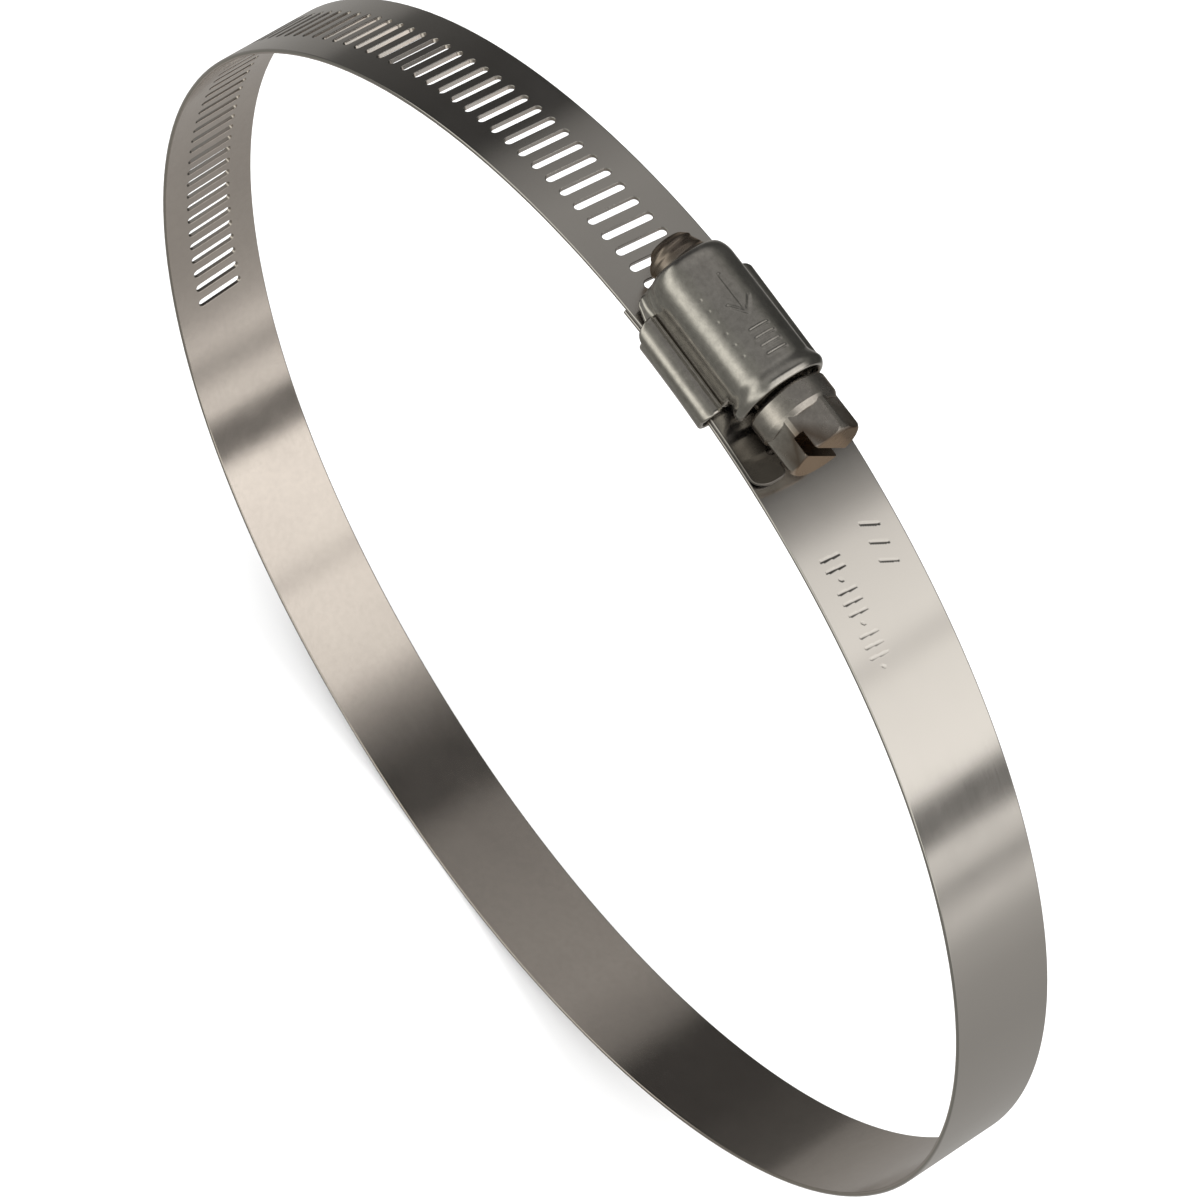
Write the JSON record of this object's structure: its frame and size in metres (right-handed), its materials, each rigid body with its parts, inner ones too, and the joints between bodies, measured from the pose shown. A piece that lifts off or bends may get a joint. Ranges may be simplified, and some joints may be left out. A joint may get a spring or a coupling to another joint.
{
  "type": "worm drive hose clamp",
  "caption": "Steel worm-drive hose clamp: a screw in a stamped housing pulls a perforated band through it and closes the ring on a hose.",
  "frame": {"origin": "under the centre of the ring, at the height of the ring's lowest point", "axes": "+Y along the hose's axis, +Z from the hose's centre out through the housing, +X along the screw towards its head"},
  "size_m": [0.1501, 0.0152, 0.1595],
  "materials": {
    "band_steel": "bright rolled stainless strip with fine lines along its length",
    "housing_steel": "pressed stainless sheet, tumbled",
    "saddle_steel": "pressed stainless sheet, tumbled",
    "screw_steel": "cold-headed stainless, slightly browned in its recesses"
  },
  "bodies": {
    "clamp_body": {"plain_strap": "band_steel", "housing": "housing_steel", "saddle": "saddle_steel"},
    "tail": {"perforated_band": "band_steel"},
    "screw": {"worm_screw": "screw_steel"}
  },
  "joints": [
    {"name": "screw_turn", "type": "hinge", "parent": "clamp_body", "child": "screw", "pos_m": [0, 0, 0.1537], "axis": [0.9991, 0, 0.0419], "range_deg": [-21450, 1462.5]},
    {"name": "band_feed", "type": "hinge", "parent": "clamp_body", "child": "tail", "pos_m": [0, 0, 0.0746], "axis": [0, 1, 0], "range_deg": [-7.5, 110]}
  ],
  "couplings": [
    {"joint": "band_feed", "follows": "screw_turn", "ratio": -0.0051282}
  ]
}
